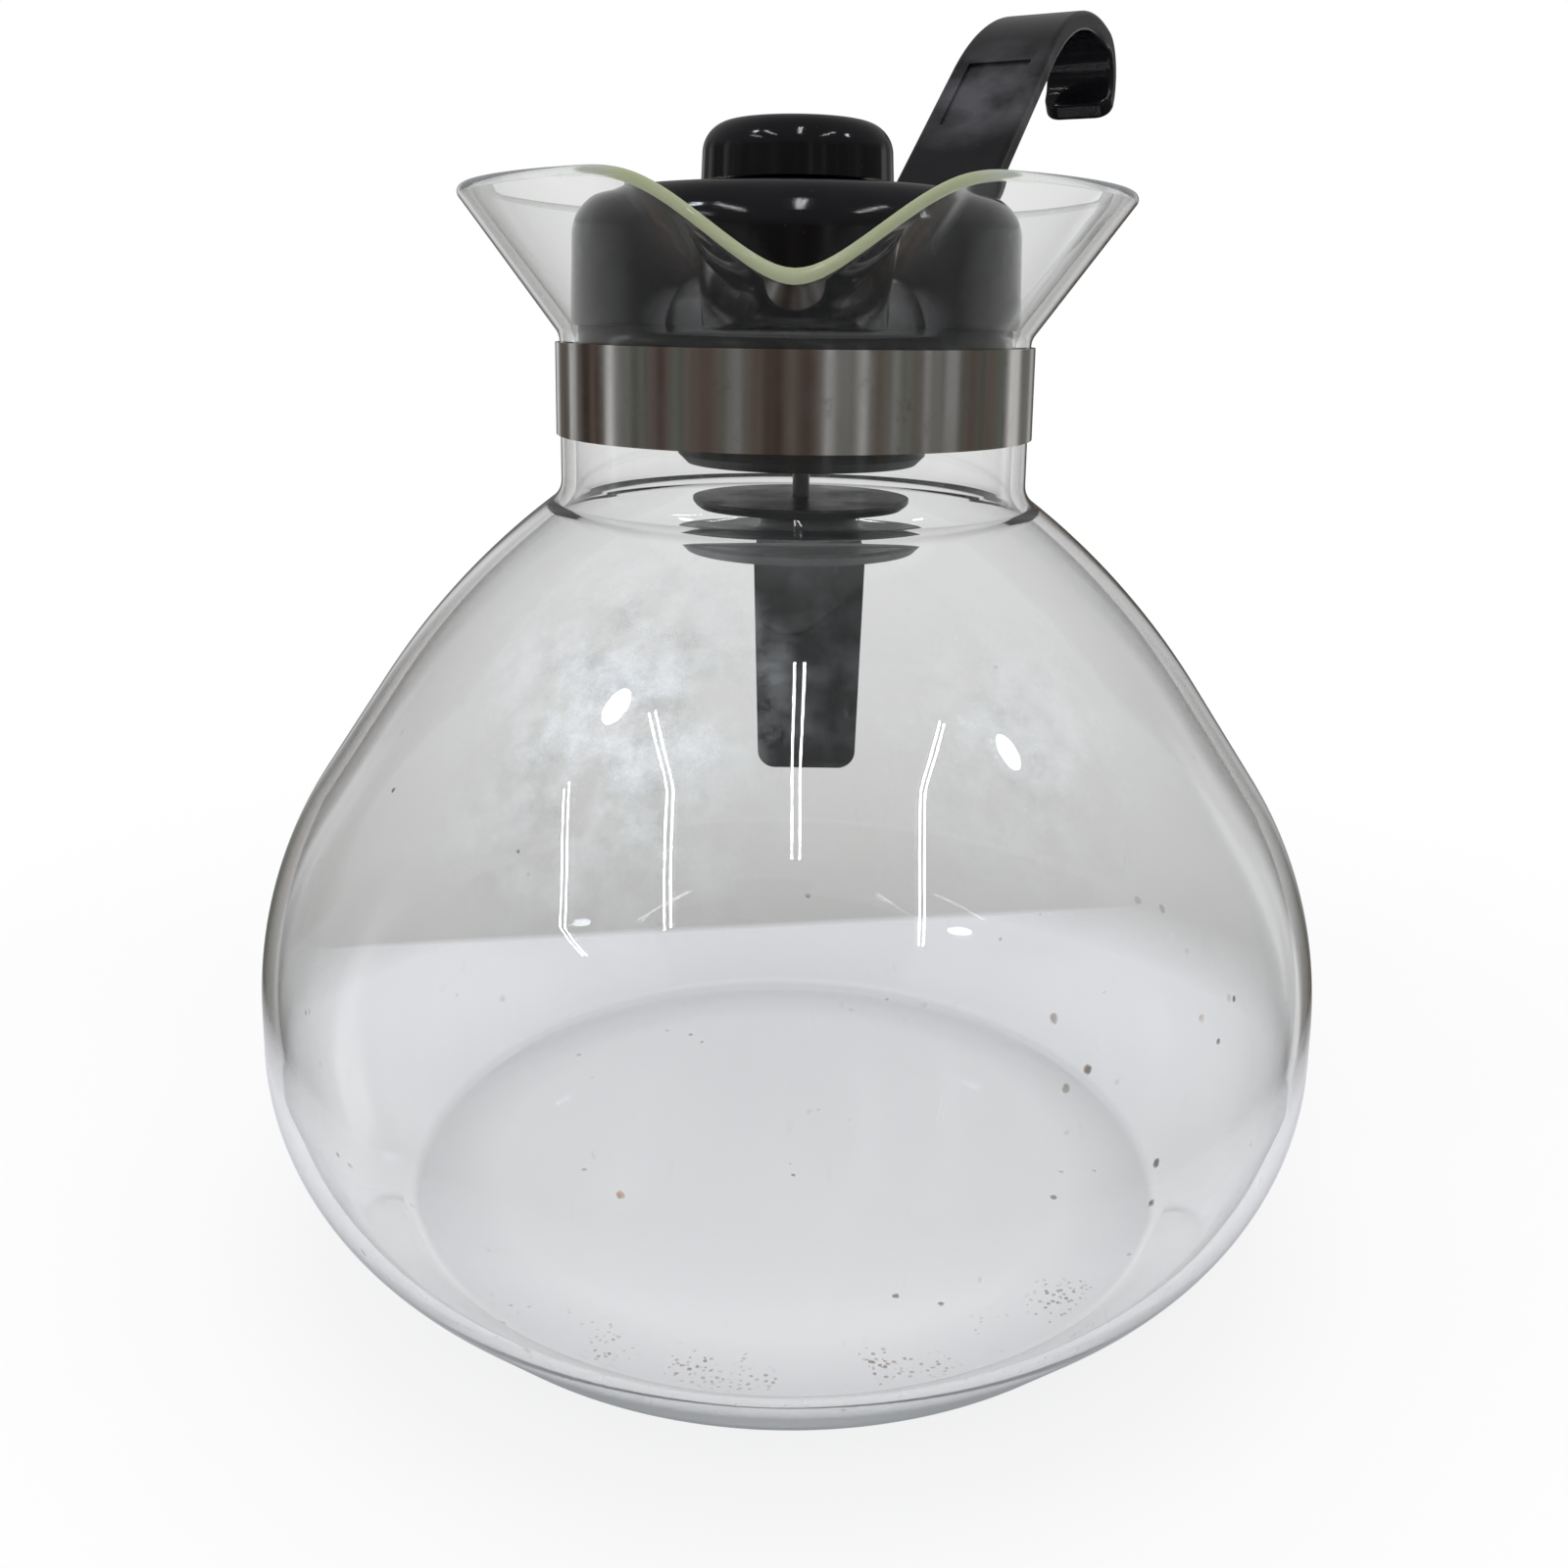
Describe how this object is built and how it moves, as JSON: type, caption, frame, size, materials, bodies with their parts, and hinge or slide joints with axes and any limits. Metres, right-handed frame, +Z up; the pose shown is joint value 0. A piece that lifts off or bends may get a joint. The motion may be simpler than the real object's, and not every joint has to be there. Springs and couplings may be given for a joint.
{
  "type": "glass whistling kettle",
  "caption": "Round glass stove-top kettle with a flared pouring mouth, steel neck band, curled black strap handle and a lift-out stopper lid with whistle and stem.",
  "frame": {"origin": "middle of the flat base, on the kettle's axis", "axes": "+Z up along the axis; the pouring lip faces -Y; the handle stands behind, turned 26 degrees from +Y towards +X, as in the picture"},
  "size_m": [0.1754, 0.2405, 0.2231],
  "materials": {
    "clear_glass": "clear, fire-polished",
    "polished_steel": "polished",
    "black_plastic": "gloss",
    "screw_steel": "plain",
    "whistle_metal": "satin",
    "stem_plastic": "dull, stained"
  },
  "bodies": {
    "kettle": {"glass_body": "clear_glass", "neck_band": "polished_steel", "handle": "black_plastic", "clamp_screw": "screw_steel", "clamp_nut": "screw_steel"},
    "lid": {"lid_cap": "black_plastic", "lid_base": "black_plastic", "lid_knob": "black_plastic", "knob_screw": "screw_steel", "whistle_plate": "whistle_metal", "whistle_cup": "whistle_metal", "baffle_pin": "whistle_metal", "baffle_stem": "stem_plastic"}
  },
  "joints": [
    {"name": "lid_lift", "type": "slide", "parent": "kettle", "child": "lid", "axis": [0, 0, 1], "range_m": [0, 0.11]}
  ]
}
